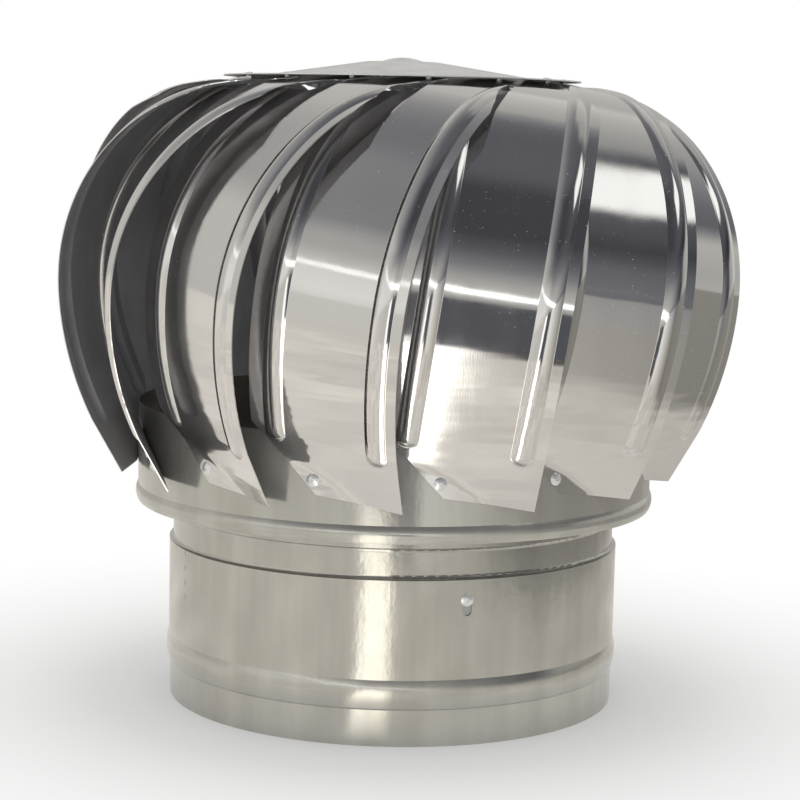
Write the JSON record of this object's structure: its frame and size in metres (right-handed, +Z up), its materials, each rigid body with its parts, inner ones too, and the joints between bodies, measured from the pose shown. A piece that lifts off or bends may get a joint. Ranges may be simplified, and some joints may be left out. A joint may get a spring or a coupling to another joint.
{
  "type": "turbine roof vent",
  "caption": "Wind-driven roof ventilator: a round neck for a duct, and a domed rotor of leaning curved vanes that spins on ball bearings.",
  "frame": {"origin": "centre of the neck's lower rim", "axes": "+Z up along the spindle, -Y towards the viewer"},
  "size_m": [0.4402, 0.449, 0.4225],
  "materials": {
    "vane_steel": "mirror-bright stainless sheet with faint dust",
    "neck_steel": "satin stainless sheet, brushed round",
    "skirt_steel": "satin stainless sheet",
    "cap_steel": "satin stainless sheet",
    "rivet_aluminium": "bright",
    "plated_steel": "zinc plated",
    "turned_steel": "turned",
    "bearing_steel": "ground",
    "dark_steel": "black oxide",
    "cage_brass": "plain"
  },
  "bodies": {
    "base": {"neck_collar": "neck_steel", "bearing_bracket": "plated_steel", "bracket_rivets": "rivet_aluminium", "spindle": "turned_steel", "spindle_washers": "plated_steel", "spindle_nuts": "plated_steel", "spindle_collar": "turned_steel", "collar_screw": "dark_steel", "lower_bearing_inner_race": "bearing_steel", "upper_bearing_inner_race": "bearing_steel"},
    "rotor": {"skirt_ring": "skirt_steel", "vane_01": "vane_steel", "vane_02": "vane_steel", "vane_03": "vane_steel", "vane_04": "vane_steel", "vane_05": "vane_steel", "vane_06": "vane_steel", "vane_07": "vane_steel", "vane_08": "vane_steel", "vane_09": "vane_steel", "vane_10": "vane_steel", "vane_11": "vane_steel", "vane_12": "vane_steel", "vane_13": "vane_steel", "vane_14": "vane_steel", "skirt_rivets": "rivet_aluminium", "rotor_cross_bar": "plated_steel", "lower_bearing_housing": "turned_steel", "housing_screws": "plated_steel", "housing_nuts": "plated_steel", "lower_bearing_outer_race": "bearing_steel", "lower_bearing_balls": "bearing_steel", "lower_bearing_cage": "cage_brass", "upper_bearing_outer_race": "bearing_steel", "upper_bearing_balls": "bearing_steel", "upper_bearing_cage": "cage_brass", "top_hub": "turned_steel", "cap_cone": "cap_steel", "cap_rivets": "rivet_aluminium", "cap_button": "cap_steel"}
  },
  "joints": [
    {"name": "rotor_spin", "type": "hinge", "parent": "base", "child": "rotor", "pos_m": [0, 0, 0.29], "axis": [0, 0, 1], "continuous": true}
  ]
}
